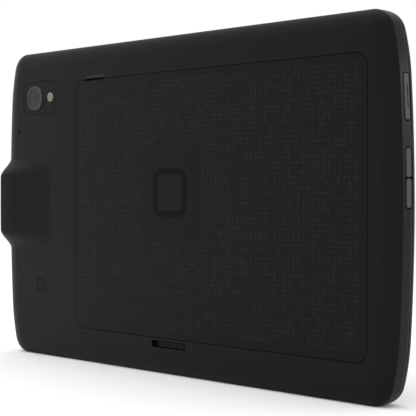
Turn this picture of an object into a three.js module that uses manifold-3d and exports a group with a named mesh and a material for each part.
// Rugged tablet data collector with a scan engine in a raised housing on its back.
// Millimetres. It stands on its long edge: +X runs along the tablet to the key end, +Z is up and
// +Y is towards the screen, so the back faces -Y. The origin is the centre of its box's underside.
// Depth d is measured from the back face towards the screen, and at(d) turns it into Y.
import * as THREE from "three";
import { mergeVertices } from "three/addons/utils/BufferGeometryUtils.js";
import Module from "manifold-3d";

const wasm = await Module();
wasm.setup();

// ---- Overall sizes ----
const LENGTH = 228;
const HEIGHT = 138.5;
const THICKNESS = 12.8; // back face to front rim
const HUMP_PROUD = 4.7; // scan housing above the back face
const END_BOW_R = 740; // the short ends are gently bowed,
const SHOULDER_FROM_EDGE = 23; // bend more from here on
const SHOULDER_R = 82;
const CORNER_FROM_EDGE = 6.4; // and turn into the corner here
const FIT = 0.2; // gap between pieces that are assembled tight
const SLIDE_FIT = 0.3; // gap around pieces that move

// ---- Shells ----
const SHELL = 1.6; // rear housing wall
const ROLL_WIDTH = 6; // the back rolls off towards its edges
const ROLL_DEPTH = 3.6;
const PARTING = 3.4; // depth where rear housing meets side frame
const PARTING_GAP = 0.12;
const FRAME_WALL = 2;
const FRAME_EDGE = 0.35; // chamfer on the side frame's outer edges
const BEZEL_DEPTH = 3.3; // front bezel, rim to side frame
const FRONT_ROLL_WIDTH = 2.5; // side frame and bezel roll off towards the front
const FRONT_ROLL_DEPTH = 5;
const BEZEL_RIM = 4.6; // rim width around the glass
const GLASS_SUNK = 0.3;
const GLASS_THICK = 1;
const DISPLAY_FROM_END = 22;
const DISPLAY_FROM_EDGE = 11.25;
const DISPLAY_THICK = 1.8;
const CHASSIS_THICK = 1;

// ---- Battery cover, bay and battery ----
const SENSOR_ZONE = 52.6; // left end to the cover
const COVER_FROM_END = 12.6; // right end to the cover
const COVER_FROM_EDGE = 15; // long edges to the cover
const COVER_THICK = 1.3;
const COVER_CORNER_R = 5;
const LEDGE = 9; // the cover lies on a ledge this wide
const LEDGE_THICK = 1.2;
const CARD_ZONE = 30; // card sockets beside the battery
const CARD_FLOOR = 4.2;
const BATTERY_THICK = 5;
const BATTERY_PLAY = 0.5;
const BAY_WALL = 1;
const CONNECTOR_ZONE = 3.4;
const CLIP_LENGTH = 6;
const PRY_LENGTH = 13;
const PRY_HEIGHT = 0.9;
const PRY_FROM_CORNER = 7;

// ---- Cover latch ----
const LATCH_SLOT_LENGTH = 19.7;
const LATCH_SLOT_HEIGHT = 2.7;
const LATCH_SLIDER_LENGTH = 14.8;
const LATCH_END_GAP = 0.9; // room at the slot's right end while the cover is locked
const LATCH_X = -0.85;
const LATCH_BELOW_COVER = 2.75;
const LATCH_SUNK = 0.45;

// ---- Camera group ----
const CAMERA_FROM_END = 23;
const CAMERA_FROM_TOP = 21;
const CAMERA_RING = 11.2;
const CAMERA_RING_PROUD = 0.35;
const CAMERA_LENS_R = 3.6;
const FLASH_FROM_CAMERA = 11.1;
const FLASH_R = 2.35;
const PANEL_LENGTH = 24.2;
const PANEL_HEIGHT = 14.6;
const PANEL_THICK = 0.8;
const PANEL_BEYOND_CAMERA = 8.7; // camera centre to the panel's left edge
const MIC_FROM_END = 10.9;
const MIC_FROM_TOP = 36;
const MIC_HOLE_R = 0.6;

// ---- Scan housing and engine ----
const HUMP_FLAT = 24.5;
const HUMP_BASE = 42.6;
const HUMP_FLAT_END = 21; // left end to where the flat top starts to fall
const HUMP_FOOT = 36; // left end to where the fall meets the back
const HUMP_ROUND = 3;
const HUMP_BURIED = 0.15; // its foot runs this far under the back face
const HUMP_INSET = 0.05;
const HUMP_WALL = 1.5;
const TONGUE_LENGTH = 29; // end wall that carries the scan window
const TONGUE_DEPTH = 5.8;
const WINDOW_LENGTH = 21;
const WINDOW_HEIGHT = 6;
const WINDOW_THICK = 1;
const WINDOW_DEPTH = 1.7; // depth of the window's and the engine's centre line
const ENGINE_LENGTH = 20;
const ENGINE_DEPTH = 11;
const ENGINE_HEIGHT = 6.6;

// ---- Keys ----
const KEY_DEPTH = 7.2; // depth of the keys' centre line
const KEY_WIDTH = 3.2;
const KEY_LIP = 0.6; // flange beyond the cap
const KEY_TRAVEL = 0.5;
const KEY_FLANGE = 0.8;
const POWER_LENGTH = 16.2;
const POWER_FROM_TOP = 30.7;
const VOLUME_LENGTH = 10.2;
const VOLUME_FROM_TOP = 58.8; // top edge to the middle of the pair
const VOLUME_SPLIT = 0.4;
const TOP_KEY_LENGTH = 5;
const TOP_KEY_FROM_END = 15.8;
const TOP_KEY_PROUD = 0.5;
const TOP_KEY_TRAVEL = 0.6;
const SWITCH = { length: 4, width: 3, thick: 1.2 };

// ---- Dock connector, sound and small parts ----
const DOCK_LENGTH = 26;
const DOCK_DEPTH = 6.45; // depth of its centre line
const DOCK_WIDTH = 4;
const DOCK_SUNK = 0.6;
const DOCK_CONTACTS = 6;
const SPEAKER = { length: 20, height: 6, thick: 2.6 };
const SPEAKER_FROM_END = 34;
const SPEAKER_SLOT_HEIGHT = 1.1;
const BOARD_THICK = 1;
const SCREW_HEAD_R = 1.9;
const SCREW_HEAD = 0.9;
const SCREW_R = 0.9;
const BOSS_R = 3.1;
const ARC_STEPS = 5; // half the segments on each arc of a shape
const BODY_STEPS = 3; // the same, on the tablet's own outline

// ---- Places worked out from the sizes ----
const BACK_Y = HUMP_PROUD - (THICKNESS + HUMP_PROUD) / 2;
const MID_Z = HEIGHT / 2;
const RIGHT = LENGTH / 2;
const LEFT = -LENGTH / 2;
const BEZEL_START = THICKNESS - BEZEL_DEPTH;
const FRAME_START = PARTING + PARTING_GAP;
const FRAME_END = BEZEL_START - PARTING_GAP;
const GLASS_BACK = THICKNESS - GLASS_SUNK - GLASS_THICK;
const DISPLAY_BACK = GLASS_BACK - FIT - DISPLAY_THICK;
const CHASSIS_BACK = DISPLAY_BACK - FIT - CHASSIS_THICK;
const COVER_LEFT = LEFT + SENSOR_ZONE;
const COVER_RIGHT = RIGHT - COVER_FROM_END;
const COVER_BOTTOM = COVER_FROM_EDGE;
const COVER_TOP = HEIGHT - COVER_FROM_EDGE;
const LEDGE_TOP = COVER_THICK + SLIDE_FIT;
const BATTERY_BACK = COVER_THICK + 0.5;
const BAY_FLOOR = BATTERY_BACK + BATTERY_THICK + FIT;
const BAY_LEFT = COVER_LEFT + LEDGE + CARD_ZONE;
const BAY_RIGHT = COVER_RIGHT - LEDGE;
const BAY_BOTTOM = COVER_BOTTOM + LEDGE;
const BAY_TOP = COVER_TOP - LEDGE;
const LATCH_Z = COVER_BOTTOM - LATCH_BELOW_COVER;
const CAMERA_X = LEFT + CAMERA_FROM_END;
const CAMERA_Z = HEIGHT - CAMERA_FROM_TOP;
const FLASH_X = CAMERA_X + FLASH_FROM_CAMERA;
const PANEL_X = CAMERA_X - PANEL_BEYOND_CAMERA + PANEL_LENGTH / 2;
const BOARD_BACK = CHASSIS_BACK - FIT - BOARD_THICK;
const POWER_Z = HEIGHT - POWER_FROM_TOP;
const VOLUME_Z = HEIGHT - VOLUME_FROM_TOP;
const VOLUME_STEP = (VOLUME_LENGTH + VOLUME_SPLIT) / 2;
const TOP_KEY_X = RIGHT - TOP_KEY_FROM_END;
const at = (d) => BACK_Y + d;

// ---- Solids: manifold-3d joins and cuts, three.js makes the shapes ----
function solid(geometry) {
  const bare = geometry.clone();
  bare.deleteAttribute("normal");
  bare.deleteAttribute("uv");
  const merged = mergeVertices(bare, 1e-4);
  return new wasm.Manifold(
    new wasm.Mesh({
      numProp: 3,
      vertProperties: merged.attributes.position.array,
      triVerts: new Uint32Array(merged.index.array),
    }),
  );
}

function geometryOf(made) {
  const mesh = made.getMesh();
  const geometry = new THREE.BufferGeometry();
  geometry.setAttribute("position", new THREE.BufferAttribute(mesh.vertProperties, 3));
  geometry.setIndex(new THREE.BufferAttribute(mesh.triVerts, 1));
  geometry.computeVertexNormals();
  return geometry;
}

const join = (first, ...others) => others.reduce((all, next) => all.add(next), first);
const cut = (first, ...others) => others.reduce((left, next) => left.subtract(next), first);

// ---- Outlines, drawn in X and Z ----
// The right end's upper half as bow, shoulder and corner. Each arc starts where, and in the
// direction in which, the one before it ends; u and v are its centre, v from the middle up.
function nextArc(before, r, end) {
  const [from, slope] = [before.to, Math.sin(before.to)];
  const u = before.u + (before.r - r) * Math.cos(from);
  const v = before.v + (before.r - r) * slope;
  return { u, v, r, from, to: Math.asin(Math.min(1, (end - v) / r)) };
}
const BOW_ARC = {
  u: RIGHT - END_BOW_R,
  v: 0,
  r: END_BOW_R,
  to: Math.asin((MID_Z - SHOULDER_FROM_EDGE) / END_BOW_R),
};
const SHOULDER_ARC = nextArc(BOW_ARC, SHOULDER_R, MID_Z - CORNER_FROM_EDGE);
const CORNER_ARC = nextArc(
  SHOULDER_ARC,
  CORNER_FROM_EDGE / (1 - Math.sin(SHOULDER_ARC.to)),
  MID_Z,
);

// The tablet's own outline, moved in by inset.
function bodyShape(inset = 0) {
  const shape = new THREE.Shape();
  const turn = (arc, right, up, from, to) =>
    shape.absarc(right * arc.u, MID_Z + up * arc.v, arc.r - inset, from, to);
  for (const [side, start] of [
    [1, 0],
    [-1, Math.PI],
  ]) {
    turn(BOW_ARC, side, side, start - BOW_ARC.to, start + BOW_ARC.to);
    for (const arc of [SHOULDER_ARC, CORNER_ARC])
      turn(arc, side, side, start + arc.from, start + arc.to);
    for (const arc of [CORNER_ARC, SHOULDER_ARC])
      turn(arc, -side, side, start + Math.PI - arc.to, start + Math.PI - arc.from);
  }
  return shape;
}

// X of the right end's outline at height z, moved in by inset.
function endX(z, inset = 0) {
  const v = Math.abs(z - MID_Z);
  const reaches = (arc) => v <= arc.v + (arc.r - inset) * Math.sin(arc.to);
  const arc = [BOW_ARC, SHOULDER_ARC].find(reaches) ?? CORNER_ARC;
  return arc.u + Math.sqrt((arc.r - inset) ** 2 - (v - arc.v) ** 2);
}

function roundRect(u, v, width, height, r) {
  const [w, h] = [width / 2 - r, height / 2 - r];
  const shape = new THREE.Shape();
  shape.absarc(u + w, v - h, r, 1.5 * Math.PI, 2 * Math.PI);
  shape.absarc(u + w, v + h, r, 0, Math.PI / 2);
  shape.absarc(u - w, v + h, r, Math.PI / 2, Math.PI);
  shape.absarc(u - w, v - h, r, Math.PI, 1.5 * Math.PI);
  return shape;
}

const rectBetween = (x0, x1, z0, z1, r) =>
  roundRect((x0 + x1) / 2, (z0 + z1) / 2, x1 - x0, z1 - z0, r);

// ---- Extrusions ----
// A plate from depth d0 to d1. With edge, both its faces have rounded edges.
function plate(shape, d0, d1, edge = null, steps = ARC_STEPS) {
  const { size = 0, thick = 0, segments = 1 } = edge ?? {};
  const geometry = new THREE.ExtrudeGeometry(shape, {
    depth: d1 - d0 - 2 * thick,
    bevelEnabled: edge !== null,
    bevelSize: size,
    bevelOffset: -size,
    bevelThickness: thick,
    bevelSegments: segments,
    curveSegments: steps,
  });
  geometry.rotateX(Math.PI / 2);
  geometry.translate(0, at(d1) - thick, 0);
  return solid(geometry);
}

// The tablet's outline as a slab, and a deep one whose front edge is rolled.
const slab = (inset, d0, d1, edge) => plate(bodyShape(inset), d0, d1, edge, BODY_STEPS);
const frontRolled = () =>
  slab(0, -2 * THICKNESS, THICKNESS, {
    size: FRONT_ROLL_WIDTH,
    thick: FRONT_ROLL_DEPTH,
    segments: 5,
  });

// A shape drawn in Z and in height above the back face, run from x0 to x1.
function alongX(shape, x0, x1, steps = ARC_STEPS) {
  const geometry = new THREE.ExtrudeGeometry(shape, {
    depth: x1 - x0,
    bevelEnabled: false,
    curveSegments: steps,
  });
  geometry.applyMatrix4(
    new THREE.Matrix4().set(0, 0, 1, x0, 0, -1, 0, BACK_Y, 1, 0, 0, 0, 0, 0, 0, 1),
  );
  return solid(geometry);
}

// A shape drawn in X and in height above the back face, run between two heights of Z.
function alongZ(shape, z0, z1, steps = ARC_STEPS) {
  const geometry = new THREE.ExtrudeGeometry(shape, {
    depth: z1 - z0,
    bevelEnabled: false,
    curveSegments: steps,
  });
  geometry.rotateX(Math.PI);
  geometry.translate(0, BACK_Y, z1);
  return solid(geometry);
}

function block(x0, x1, d0, d1, z0, z1) {
  const geometry = new THREE.BoxGeometry(x1 - x0, d1 - d0, z1 - z0);
  geometry.translate((x0 + x1) / 2, at((d0 + d1) / 2), (z0 + z1) / 2);
  return solid(geometry);
}

// A round bar along Y, X or Z.
function disc(x, z, r, d0, d1, sides = 20) {
  const geometry = new THREE.CylinderGeometry(r, r, d1 - d0, sides);
  geometry.translate(x, at((d0 + d1) / 2), z);
  return solid(geometry);
}

function barX(d, z, r, x0, x1, sides = 20) {
  const geometry = new THREE.CylinderGeometry(r, r, x1 - x0, sides);
  geometry.rotateZ(Math.PI / 2);
  geometry.translate((x0 + x1) / 2, at(d), z);
  return solid(geometry);
}

function barZ(x, d, r, z0, z1, sides = 10) {
  const geometry = new THREE.CylinderGeometry(r, r, z1 - z0, sides);
  geometry.rotateX(Math.PI / 2);
  geometry.translate(x, at(d), (z0 + z1) / 2);
  return solid(geometry);
}

// ---- Materials and the group ----
const finish = (color, roughness, metalness = 0) => () =>
  new THREE.MeshStandardMaterial({ color, roughness, metalness });
const SHELL_BLACK = finish(0x232325, 0.62);
const FRAME_GREY = finish(0x38383a, 0.5);
const KEY_GREY = finish(0x5b5a5c, 0.45);
const GLASS_BLACK = finish(0x08090a, 0.08);
const LENS_GLASS = finish(0x2a2430, 0.05);
const RING_GREY = finish(0x4a494b, 0.35, 0.6);
const FLASH_CLEAR = finish(0xd8d8cc, 0.3);
const SCREEN = finish(0x0b0d12, 0.1);
const METAL = finish(0x8d9094, 0.4, 0.9);
const STEEL = finish(0xa9abae, 0.3, 1);
const BOARD_GREEN = finish(0x1f4a34, 0.6);
const GOLD = finish(0xc9a24b, 0.3, 1);
const BATTERY_BLACK = finish(0x1b1c1e, 0.6);
const RUBBER = finish(0x151515, 0.8);
const SCAN_RED = finish(0x3a0f12, 0.1);
const LED_WHITE = finish(0xe9e6d8, 0.4);

const tablet = new THREE.Group();

function add(name, made, material) {
  const mesh = new THREE.Mesh(geometryOf(made), material());
  mesh.name = name;
  tablet.add(mesh);
}

// ---- Scan housing: a raised back that blends into the rolled edge of the left end ----
// Height above the back face, at s in from the left outline and v up from the middle.
function humpHeight(s, v) {
  const { smoothstep } = THREE.MathUtils;
  const out = Math.max(0, 1 - s / ROLL_WIDTH);
  const back = -ROLL_DEPTH * (1 - Math.sqrt(1 - out * out)) - HUMP_BURIED;
  const round = Math.max(0, 1 - s / HUMP_ROUND);
  const top = HUMP_PROUD - HUMP_ROUND * (1 - Math.sqrt(1 - round * round));
  const across = smoothstep(HUMP_BASE / 2 - Math.abs(v), 0, (HUMP_BASE - HUMP_FLAT) / 2);
  const along = smoothstep(HUMP_FOOT - s, 0, HUMP_FOOT - HUMP_FLAT_END);
  return back + across * along * (top - back);
}

// A box whose back face is drawn out to that height; columns crowd towards the left end.
function hump(wall, foot, columns, rows) {
  const geometry = new THREE.BoxGeometry(1, 1, 1, columns, 1, rows);
  const place = geometry.attributes.position;
  for (let i = 0; i < place.count; i++) {
    const v = place.getZ(i) * HUMP_BASE;
    const x = -endX(MID_Z + v, wall + HUMP_INSET) + (place.getX(i) + 0.5) ** 1.5 * HUMP_FOOT;
    const s = x + endX(MID_Z + v);
    const d = place.getY(i) < 0 ? 1.2 * wall - humpHeight(Math.max(0, s - wall), v) : foot;
    place.setXYZ(i, x, at(d), MID_Z + v);
  }
  return solid(geometry);
}

const tongue = (grow) =>
  block(
    LEFT - 1,
    LEFT + FRAME_WALL + 2 * FIT + grow,
    0,
    TONGUE_DEPTH + grow,
    MID_Z - TONGUE_LENGTH / 2 - grow,
    MID_Z + TONGUE_LENGTH / 2 + grow,
  ).intersect(slab(-grow, -HUMP_PROUD, THICKNESS));

// The screws stand on the ledge around the bay, four above and four below.
const SCREW_PLACES = [0, 1, 2, 3].flatMap((i) => {
  const x = COVER_LEFT + LEDGE / 2 + (i * (COVER_RIGHT - COVER_LEFT - LEDGE)) / 3;
  return [
    [x, COVER_BOTTOM + LEDGE / 2],
    [x, COVER_TOP - LEDGE / 2],
  ];
});

// The cover's clips stand between the screws, in slots in the ledge.
const CLIP_PLACES = [0, 1, 2].flatMap((i) => {
  const x = COVER_LEFT + LEDGE / 2 + ((i + 0.5) * (COVER_RIGHT - COVER_LEFT - LEDGE)) / 3;
  return [
    [x, COVER_BOTTOM + 2.2],
    [x, COVER_TOP - 2.2],
  ];
});
const CLIP_THICK = 0.9;
const clipBlock = ([x, z], grow, d0, d1) =>
  block(
    x - CLIP_LENGTH / 2 - grow,
    x + CLIP_LENGTH / 2 + grow,
    d0,
    d1,
    z - CLIP_THICK / 2 - grow,
    z + CLIP_THICK / 2 + grow,
  );

const coverShape = (grow) =>
  rectBetween(
    COVER_LEFT - grow,
    COVER_RIGHT + grow,
    COVER_BOTTOM - grow,
    COVER_TOP + grow,
    COVER_CORNER_R + grow,
  );
const bayShape = (grow) =>
  rectBetween(BAY_LEFT - grow, BAY_RIGHT + grow, BAY_BOTTOM - grow, BAY_TOP + grow, 2 + grow);
const cardShape = (grow) =>
  rectBetween(
    COVER_LEFT + LEDGE - grow,
    BAY_LEFT - BAY_WALL + grow,
    BAY_BOTTOM - grow,
    BAY_TOP + grow,
    2 + grow,
  );
const ROLL = { size: ROLL_WIDTH, thick: ROLL_DEPTH, segments: 5 };
const PAST = 1; // cuts run this far past a face

function rearHousing() {
  const below = 4 * ROLL_DEPTH; // the rolled slab is cut off at the parting plane
  const rim = slab(-PAST, -HUMP_PROUD - PAST, PARTING);
  const skin = slab(0, 0, below, ROLL).intersect(rim);
  const hollow = slab(SHELL, SHELL, SHELL + below, { ...ROLL, segments: 3 });
  const shell = cut(
    join(skin, hump(0, PARTING, 16, 22)),
    hollow,
    hump(HUMP_WALL, PARTING + PAST, 8, 12),
  );
  const bosses = SCREW_PLACES.map(([x, z]) =>
    disc(x, z, BOSS_R, SHELL / 2, CHASSIS_BACK - FIT, 12),
  );
  const lined = join(
    shell,
    tongue(0),
    plate(coverShape(BAY_WALL), SHELL / 2, LEDGE_TOP + LEDGE_THICK),
    plate(bayShape(BAY_WALL), SHELL, BAY_FLOOR + BAY_WALL),
    plate(cardShape(BAY_WALL), SHELL, CARD_FLOOR + BAY_WALL),
    ...bosses,
  );
  return cut(
    lined,
    plate(coverShape(SLIDE_FIT), -PAST, LEDGE_TOP),
    plate(bayShape(0), -PAST, BAY_FLOOR),
    plate(cardShape(0), -PAST, CARD_FLOOR),
    pryNotch(),
    latchSlot(),
    ...CLIP_PLACES.map((place) => clipBlock(place, SLIDE_FIT, 0, LEDGE_TOP + LEDGE_THICK + PAST)),
    ...SCREW_PLACES.map(([x, z]) => disc(x, z, SCREW_HEAD_R + FIT, 0, LEDGE_TOP + SCREW_HEAD + FIT, 14)),
    ...SCREW_PLACES.map(([x, z]) => disc(x, z, SCREW_R + FIT, 0, THICKNESS, 8)),
    plate(panelShape(FIT), -PAST, PANEL_THICK + FIT),
    plate(panelShape(-1.6), -PAST, SHELL + PAST),
    disc(LEFT + MIC_FROM_END, HEIGHT - MIC_FROM_TOP, MIC_HOLE_R, -PAST, SHELL + PAST, 12),
    scanOpening(),
  );
}

const panelShape = (grow) =>
  roundRect(PANEL_X, CAMERA_Z, PANEL_LENGTH + 2 * grow, PANEL_HEIGHT + 2 * grow, 3 + grow);

const pryNotch = () =>
  block(
    COVER_LEFT + PRY_FROM_CORNER,
    COVER_LEFT + PRY_FROM_CORNER + PRY_LENGTH,
    -PAST,
    COVER_THICK - FIT,
    COVER_TOP,
    COVER_TOP + SLIDE_FIT + PRY_HEIGHT,
  );

const latchSlot = () =>
  plate(
    roundRect(LATCH_X, LATCH_Z, LATCH_SLOT_LENGTH, LATCH_SLOT_HEIGHT, 0.6),
    -PAST,
    SHELL + PAST,
    null,
    2,
  );

const scanOpening = () =>
  alongX(
    roundRect(MID_Z, -WINDOW_DEPTH, WINDOW_LENGTH, WINDOW_HEIGHT, 1.2),
    LEFT - PAST,
    LEFT + FRAME_WALL + PAST,
    3,
  );

// ---- Side frame: the band around the edge that carries the keys ----
const keySlot = (z, length, grow) =>
  roundRect(z, -KEY_DEPTH, length + 2 * grow, KEY_WIDTH + 2 * grow, KEY_WIDTH / 2 - 0.3 + grow);
const topKeyShape = (grow) =>
  roundRect(TOP_KEY_X, -KEY_DEPTH, TOP_KEY_LENGTH + 2 * grow, KEY_WIDTH + 2 * grow, 1.2 + grow);

function sideFrame() {
  const edge = { size: FRAME_EDGE, thick: FRAME_EDGE };
  const band = cut(
    slab(0, FRAME_START, FRAME_END, edge).intersect(frontRolled()),
    slab(FRAME_WALL, FRAME_START - PAST, FRAME_END + PAST),
  );
  const volume = keySlot(VOLUME_Z, 2 * VOLUME_LENGTH + VOLUME_SPLIT, SLIDE_FIT);
  return cut(
    band,
    tongue(FIT),
    alongX(keySlot(POWER_Z, POWER_LENGTH, SLIDE_FIT), RIGHT - 3 * FRAME_WALL, RIGHT + PAST, 3),
    alongX(volume, RIGHT - 3 * FRAME_WALL, RIGHT + PAST, 3),
    alongZ(topKeyShape(SLIDE_FIT), HEIGHT - FRAME_WALL - PAST, HEIGHT + PAST, 3),
    block(
      -DOCK_LENGTH / 2 - FIT,
      DOCK_LENGTH / 2 + FIT,
      DOCK_DEPTH - DOCK_WIDTH / 2 - FIT,
      DOCK_DEPTH + DOCK_WIDTH / 2 + FIT,
      -PAST,
      FRAME_WALL + PAST,
    ),
  );
}

// ---- Front: bezel, glass, display and chassis ----
const SPEAKER_PLACES = [LEFT + SPEAKER_FROM_END, RIGHT - SPEAKER_FROM_END];

function frontBezel() {
  const ring = cut(
    frontRolled().intersect(slab(-PAST, BEZEL_START, THICKNESS + PAST)),
    slab(BEZEL_RIM, BEZEL_START - PAST, THICKNESS + PAST),
  );
  const slots = SPEAKER_PLACES.map((x) =>
    plate(
      roundRect(x, BEZEL_RIM - SPEAKER_SLOT_HEIGHT, SPEAKER.length - 4, SPEAKER_SLOT_HEIGHT, 0.5),
      BEZEL_START - PAST,
      THICKNESS + PAST,
      null,
      2,
    ),
  );
  return cut(ring, ...slots);
}

function frontStack() {
  const display = rectBetween(
    LEFT + DISPLAY_FROM_END,
    RIGHT - DISPLAY_FROM_END,
    DISPLAY_FROM_EDGE,
    HEIGHT - DISPLAY_FROM_EDGE,
    2,
  );
  const glass = slab(BEZEL_RIM + FIT, GLASS_BACK, THICKNESS - GLASS_SUNK, {
    size: 0.2,
    thick: 0.2,
  });
  add("front_bezel", frontBezel(), SHELL_BLACK);
  add("touch_glass", glass, GLASS_BLACK);
  add("display_panel", plate(display, DISPLAY_BACK, GLASS_BACK - FIT), SCREEN);
  const chassis = cut(
    slab(FRAME_WALL + 2 * FIT, CHASSIS_BACK, CHASSIS_BACK + CHASSIS_THICK),
    ...SCREW_PLACES.map(([x, z]) => disc(x, z, SCREW_R + FIT, 0, THICKNESS, 8)),
    ...SPEAKER_PLACES.map((x) =>
      block(
        x - SPEAKER.length / 2 - FIT,
        x + SPEAKER.length / 2 + FIT,
        0,
        THICKNESS,
        -PAST,
        FRAME_WALL + SPEAKER.height + 3 * FIT,
      ),
    ),
    block(
      endX(POWER_Z) - FRAME_WALL - KEY_BOARD_IN - BOARD_THICK - FIT - PAST,
      RIGHT,
      0,
      THICKNESS,
      VOLUME_Z - VOLUME_LENGTH - 4,
      POWER_Z + POWER_LENGTH / 2 + 3,
    ),
    block(
      -DOCK_LENGTH / 2 - 1,
      DOCK_LENGTH / 2 + 1,
      0,
      THICKNESS,
      -PAST,
      FRAME_WALL + 4.6,
    ),
    block(
      TOP_KEY_X - TOP_KEY_LENGTH / 2 - 2,
      TOP_KEY_X + TOP_KEY_LENGTH / 2 + 2,
      0,
      THICKNESS,
      HEIGHT - FRAME_WALL - 5,
      HEIGHT,
    ),
  );
  add("chassis_plate", chassis, METAL);
  const seal = cut(
    slab(FRAME_WALL + FIT, FRAME_START + FIT, FRAME_START + 0.7),
    slab(FRAME_WALL + FIT + 1, FRAME_START - PAST, FRAME_START + 2),
    tongue(2 * FIT),
    block(LEFT, LEFT + 6, 0, THICKNESS, MID_Z - TONGUE_LENGTH / 2 - 1, MID_Z + TONGUE_LENGTH / 2 + 1),
  );
  add("housing_seal", seal, RUBBER);
}

// ---- Battery cover, battery and what lies in the bay ----
function batteryGroup() {
  const cover = join(
    plate(coverShape(0), 0, COVER_THICK, { size: 0.25, thick: 0.25 }),
    ...CLIP_PLACES.map((place) => clipBlock(place, 0, COVER_THICK / 2, LEDGE_TOP + LEDGE_THICK)),
  );
  add("battery_cover", cover, SHELL_BLACK);
  const left = BAY_LEFT + CONNECTOR_ZONE;
  const pack = plate(
    rectBetween(
      left,
      BAY_RIGHT - BATTERY_PLAY,
      BAY_BOTTOM + BATTERY_PLAY,
      BAY_TOP - BATTERY_PLAY,
      2.5,
    ),
    BATTERY_BACK,
    BATTERY_BACK + BATTERY_THICK,
    { size: 0.8, thick: 0.8, segments: 2 },
    3,
  );
  add("battery_pack", pack, BATTERY_BLACK);
  const connector = cut(
    block(
      BAY_LEFT + FIT,
      left - 2 * FIT,
      BATTERY_BACK + 1.4,
      BAY_FLOOR - FIT / 2,
      MID_Z - 9,
      MID_Z + 9,
    ),
    ...[-6, -2, 2, 6].map((z) =>
      block(left - 1.2, left, 0, THICKNESS, MID_Z + z - 0.6, MID_Z + z + 0.6),
    ),
  );
  add("battery_connector", connector, RUBBER);
  const cardX = (COVER_LEFT + LEDGE + BAY_LEFT - BAY_WALL) / 2;
  for (const [name, z, height] of [
    ["sim_card_socket", MID_Z + 22, 15],
    ["memory_card_socket", MID_Z - 22, 14],
  ]) {
    const socket = cut(
      block(cardX - 7.5, cardX + 7.5, CARD_FLOOR - 1.6, CARD_FLOOR - FIT / 2, z - height / 2, z + height / 2),
      block(cardX - 5.8, cardX + 8, CARD_FLOOR - 1.2, CARD_FLOOR - 0.5, z - height / 2 + 1, z + height / 2 - 1),
    );
    add(name, socket, STEEL);
  }
  SCREW_PLACES.forEach(([x, z], i) => {
    const head = disc(x, z, SCREW_HEAD_R, LEDGE_TOP, LEDGE_TOP + SCREW_HEAD, 14);
    const recess = disc(x, z, SCREW_HEAD_R / 2, LEDGE_TOP - PAST, LEDGE_TOP + SCREW_HEAD / 2, 6);
    const shank = disc(x, z, SCREW_R, LEDGE_TOP + SCREW_HEAD / 2, CHASSIS_BACK + CHASSIS_THICK, 8);
    add(`housing_screw_${i + 1}`, cut(join(head, shank), recess), STEEL);
  });
}

// ---- Latch slider: locks the cover, free to slide along -X in its slot ----
function latchSlider() {
  const x = LATCH_X + LATCH_SLOT_LENGTH / 2 - LATCH_END_GAP - LATCH_SLIDER_LENGTH / 2;
  const face = roundRect(x, LATCH_Z, LATCH_SLIDER_LENGTH, LATCH_SLOT_HEIGHT - 2 * FIT, 0.4);
  const grooves = [-3, -1.5, 0, 1.5, 3].map((step) =>
    block(
      x + step - 0.3,
      x + step + 0.3,
      LATCH_SUNK - PAST,
      LATCH_SUNK + 0.3,
      LATCH_Z - 1,
      LATCH_Z + 1,
    ),
  );
  const flange = block(
    x - LATCH_SLIDER_LENGTH / 2 - 1,
    x + LATCH_SLIDER_LENGTH / 2 + 1,
    SHELL + FIT,
    SHELL + FIT + 0.8,
    LATCH_Z - LATCH_SLOT_HEIGHT / 2 - 0.5,
    LATCH_Z + LATCH_SLOT_HEIGHT / 2 - FIT,
  );
  const knob = plate(face, LATCH_SUNK, SHELL + FIT + 0.4, null, 2);
  add("cover_latch_slider", cut(join(knob, flange), ...grooves), KEY_GREY);
}

// ---- Rear camera group ----
function cameraGroup() {
  const ringShape = (grow) =>
    roundRect(CAMERA_X, CAMERA_Z, CAMERA_RING + 2 * grow, CAMERA_RING + 2 * grow, 4.6 + grow);
  const panel = cut(
    plate(panelShape(0), 0, PANEL_THICK),
    plate(ringShape(FIT), -PAST, PANEL_THICK + PAST),
    disc(FLASH_X, CAMERA_Z, FLASH_R + FIT, -PAST, PANEL_THICK + PAST),
  );
  add("camera_window", panel, GLASS_BLACK);
  const ring = cut(
    plate(ringShape(0), -CAMERA_RING_PROUD, PANEL_THICK + FIT, { size: 0.3, thick: 0.3 }),
    disc(CAMERA_X, CAMERA_Z, CAMERA_LENS_R + FIT, -PAST, PANEL_THICK + PAST, 28),
  );
  add("camera_ring", ring, RING_GREY);
  add("camera_lens", disc(CAMERA_X, CAMERA_Z, CAMERA_LENS_R, 0.1, 0.7, 28), LENS_GLASS);
  const module = join(
    block(
      CAMERA_X - 4.6,
      CAMERA_X + 4.6,
      PANEL_THICK + 1.8,
      BOARD_BACK - FIT,
      CAMERA_Z - 4.6,
      CAMERA_Z + 4.6,
    ),
    disc(CAMERA_X, CAMERA_Z, 3, PANEL_THICK + 2 * FIT, PANEL_THICK + 2.4, 20),
  );
  add("camera_module", module, RUBBER);
  add("flash_lens", disc(FLASH_X, CAMERA_Z, FLASH_R, 0.05, PANEL_THICK), FLASH_CLEAR);
  const led = block(
    FLASH_X - 1.5,
    FLASH_X + 1.5,
    PANEL_THICK + 1,
    BOARD_BACK - FIT,
    CAMERA_Z - 1.5,
    CAMERA_Z + 1.5,
  );
  add("flash_led", led, LED_WHITE);
  const mic = join(
    block(
      LEFT + MIC_FROM_END - 1.8,
      LEFT + MIC_FROM_END + 1.8,
      SHELL + FIT + 0.6,
      BOARD_BACK - FIT,
      HEIGHT - MIC_FROM_TOP - 2.2,
      HEIGHT - MIC_FROM_TOP + 2.2,
    ),
    disc(LEFT + MIC_FROM_END, HEIGHT - MIC_FROM_TOP, 1.3, SHELL + FIT, SHELL + FIT + 0.9, 14),
  );
  add("microphone", mic, METAL);
}

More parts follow.
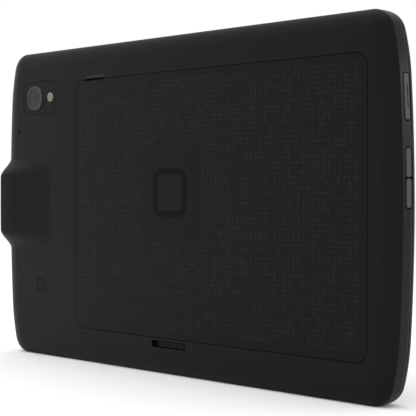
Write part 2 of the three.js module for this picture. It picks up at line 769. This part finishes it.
// ---- Scan engine behind its window in the left end ----
function scanGroup() {
  const inside = LEFT + FRAME_WALL + 2 * FIT;
  const pane = alongX(
    roundRect(MID_Z, -WINDOW_DEPTH, WINDOW_LENGTH + 2.4, WINDOW_HEIGHT + 0.8, 1),
    inside + FIT,
    inside + FIT + WINDOW_THICK,
    3,
  );
  add("scan_window", pane, SCAN_RED);
  const front = inside + WINDOW_THICK + 3;
  const d = WINDOW_DEPTH;
  const body = cut(
    block(
      front,
      front + ENGINE_DEPTH,
      d - ENGINE_HEIGHT / 2,
      d + ENGINE_HEIGHT / 2,
      MID_Z - ENGINE_LENGTH / 2,
      MID_Z + ENGINE_LENGTH / 2,
    ),
    barX(d, MID_Z, 2.6 + FIT, front - PAST, front + 3),
    barX(d, MID_Z + 6.5, 1.4 + FIT, front - PAST, front + 2),
    block(front - PAST, front + 1, d - 1.9, d + 1.9, MID_Z - 8.9, MID_Z - 4.1),
  );
  add("scan_engine", body, METAL);
  add("scan_lens", barX(d, MID_Z, 2.6, front - 0.8, front + 3 - FIT), LENS_GLASS);
  add("aimer_lens", barX(d, MID_Z + 6.5, 1.4, front - 0.5, front + 2 - FIT, 16), GOLD);
  const lamp = block(front - 0.3, front + 1 - FIT, d - 1.7, d + 1.7, MID_Z - 8.7, MID_Z - 4.3);
  add("illumination_led", lamp, LED_WHITE);
}

// ---- Keys with their switches ----
const KEY_BOARD_IN = KEY_FLANGE + KEY_TRAVEL + SWITCH.thick + 4 * FIT;

function sideKey(name, z, length) {
  const inner = endX(z) - FRAME_WALL - FIT;
  const lip = inner - KEY_FLANGE;
  const cap = alongX(keySlot(z, length, 0), inner - 0.4, RIGHT + PAST, 3).intersect(frontRolled());
  const room = Math.min(1, VOLUME_SPLIT / 2);
  const flange = block(
    lip,
    inner - FIT - 0.2,
    KEY_DEPTH - KEY_WIDTH / 2 - KEY_LIP,
    KEY_DEPTH + KEY_WIDTH / 2 + KEY_LIP,
    z - length / 2 - room + FIT / 2,
    z + length / 2 + room - FIT / 2,
  );
  add(`${name}_button`, join(cap, flange), KEY_GREY);
  const button = lip - KEY_TRAVEL - FIT;
  const tact = join(
    block(
      button - SWITCH.thick,
      button - 0.4,
      KEY_DEPTH - SWITCH.width / 2,
      KEY_DEPTH + SWITCH.width / 2,
      z - SWITCH.length / 2,
      z + SWITCH.length / 2,
    ),
    barX(KEY_DEPTH, z, 0.9, button - 0.6, button, 12),
  );
  add(`${name}_switch`, tact, STEEL);
}

function keys() {
  sideKey("power", POWER_Z, POWER_LENGTH);
  sideKey("volume_up", VOLUME_Z + VOLUME_STEP, VOLUME_LENGTH);
  sideKey("volume_down", VOLUME_Z - VOLUME_STEP, VOLUME_LENGTH);
  const back = endX(POWER_Z) - FRAME_WALL - FIT - KEY_BOARD_IN;
  const board = block(
    back - BOARD_THICK,
    back,
    KEY_DEPTH - 2.4,
    KEY_DEPTH + 2.4,
    VOLUME_Z - VOLUME_LENGTH - 2,
    POWER_Z + POWER_LENGTH / 2 + 1,
  );
  add("side_key_board", board, BOARD_GREEN);

  const inner = HEIGHT - FRAME_WALL - FIT;
  const cap = alongZ(topKeyShape(0), inner - 0.4, HEIGHT + TOP_KEY_PROUD, 3);
  const flange = block(
    TOP_KEY_X - TOP_KEY_LENGTH / 2 - 1,
    TOP_KEY_X + TOP_KEY_LENGTH / 2 + 1,
    KEY_DEPTH - KEY_WIDTH / 2 - KEY_LIP,
    KEY_DEPTH + KEY_WIDTH / 2 + KEY_LIP,
    inner - KEY_FLANGE,
    inner - FIT,
  );
  add("scan_key", join(cap, flange), KEY_GREY);
  const below = inner - KEY_FLANGE - TOP_KEY_TRAVEL - FIT;
  const tact = join(
    block(
      TOP_KEY_X - SWITCH.length / 2,
      TOP_KEY_X + SWITCH.length / 2,
      KEY_DEPTH - SWITCH.width / 2,
      KEY_DEPTH + SWITCH.width / 2,
      below - SWITCH.thick,
      below - 0.4,
    ),
    barZ(TOP_KEY_X, KEY_DEPTH, 0.9, below - 0.6, below, 12),
  );
  add("scan_key_switch", tact, STEEL);
}

// ---- Boards, dock connector, speakers and front camera ----
function electronics() {
  const right = COVER_LEFT - BAY_WALL - SLIDE_FIT;
  const board = plate(
    rectBetween(LEFT + FRAME_WALL + 4, right, FRAME_WALL + 5.5, HEIGHT - FRAME_WALL - 3, 4),
    BOARD_BACK,
    BOARD_BACK + BOARD_THICK,
    null,
    3,
  );
  add("main_board", board, BOARD_GREEN);
  const shield = plate(
    rectBetween(LEFT + 12, right - 4, 10, MID_Z - HUMP_BASE / 2 - 2, 1.5),
    BOARD_BACK - FIT - 2.2,
    BOARD_BACK - FIT,
    { size: 0.3, thick: 0.3 },
    2,
  );
  add("processor_shield", shield, METAL);
  const cellZ = MID_Z + HUMP_BASE / 2 + 4;
  add("clock_cell", disc(right - 8, cellZ, 3.4, BOARD_BACK - FIT - 2, BOARD_BACK - FIT, 24), STEEL);

  const dock = cut(
    block(
      -DOCK_LENGTH / 2,
      DOCK_LENGTH / 2,
      DOCK_DEPTH - DOCK_WIDTH / 2,
      DOCK_DEPTH + DOCK_WIDTH / 2,
      DOCK_SUNK,
      FRAME_WALL + 4,
    ),
    ...DOCK_PLACES.map((x) => barZ(x, DOCK_DEPTH, 0.9 + FIT / 2, -PAST, DOCK_SUNK + 2.4)),
  );
  add("dock_connector", dock, RUBBER);
  DOCK_PLACES.forEach((x, i) => {
    add(`dock_contact_${i + 1}`, barZ(x, DOCK_DEPTH, 0.9, DOCK_SUNK - 0.2, DOCK_SUNK + 2.2), GOLD);
  });
  for (const [name, x] of [
    ["left", SPEAKER_PLACES[0]],
    ["right", SPEAKER_PLACES[1]],
  ]) {
    const speaker = block(
      x - SPEAKER.length / 2,
      x + SPEAKER.length / 2,
      BEZEL_START - FIT - SPEAKER.thick,
      BEZEL_START - FIT,
      FRAME_WALL + 2 * FIT,
      FRAME_WALL + 2 * FIT + SPEAKER.height - 2.6,
    );
    add(`${name}_speaker`, speaker, RUBBER);
  }
  const motorZ = COVER_BOTTOM - 8;
  add("vibration_motor", barX(PARTING + 2.4, motorZ, 1.9, BAY_RIGHT - 36, BAY_RIGHT - 26, 18), METAL);
  const camera = disc(0, HEIGHT - BEZEL_RIM - 4.4, 2, GLASS_BACK - 2, GLASS_BACK - FIT, 20);
  add("front_camera", camera, LENS_GLASS);
  const antenna = block(
    -30,
    30,
    PARTING + 2,
    PARTING + 3,
    HEIGHT - FRAME_WALL - 6,
    HEIGHT - FRAME_WALL - 2,
  );
  add("antenna_strip", antenna, GOLD);
}
const DOCK_PLACES = Array.from(
  { length: DOCK_CONTACTS },
  (_, i) => ((i + 0.5) / DOCK_CONTACTS - 0.5) * (DOCK_LENGTH - 3),
);

add("rear_housing", rearHousing(), SHELL_BLACK);
add("side_frame", sideFrame(), FRAME_GREY);
frontStack();
batteryGroup();
latchSlider();
cameraGroup();
scanGroup();
keys();
electronics();

export default tablet;
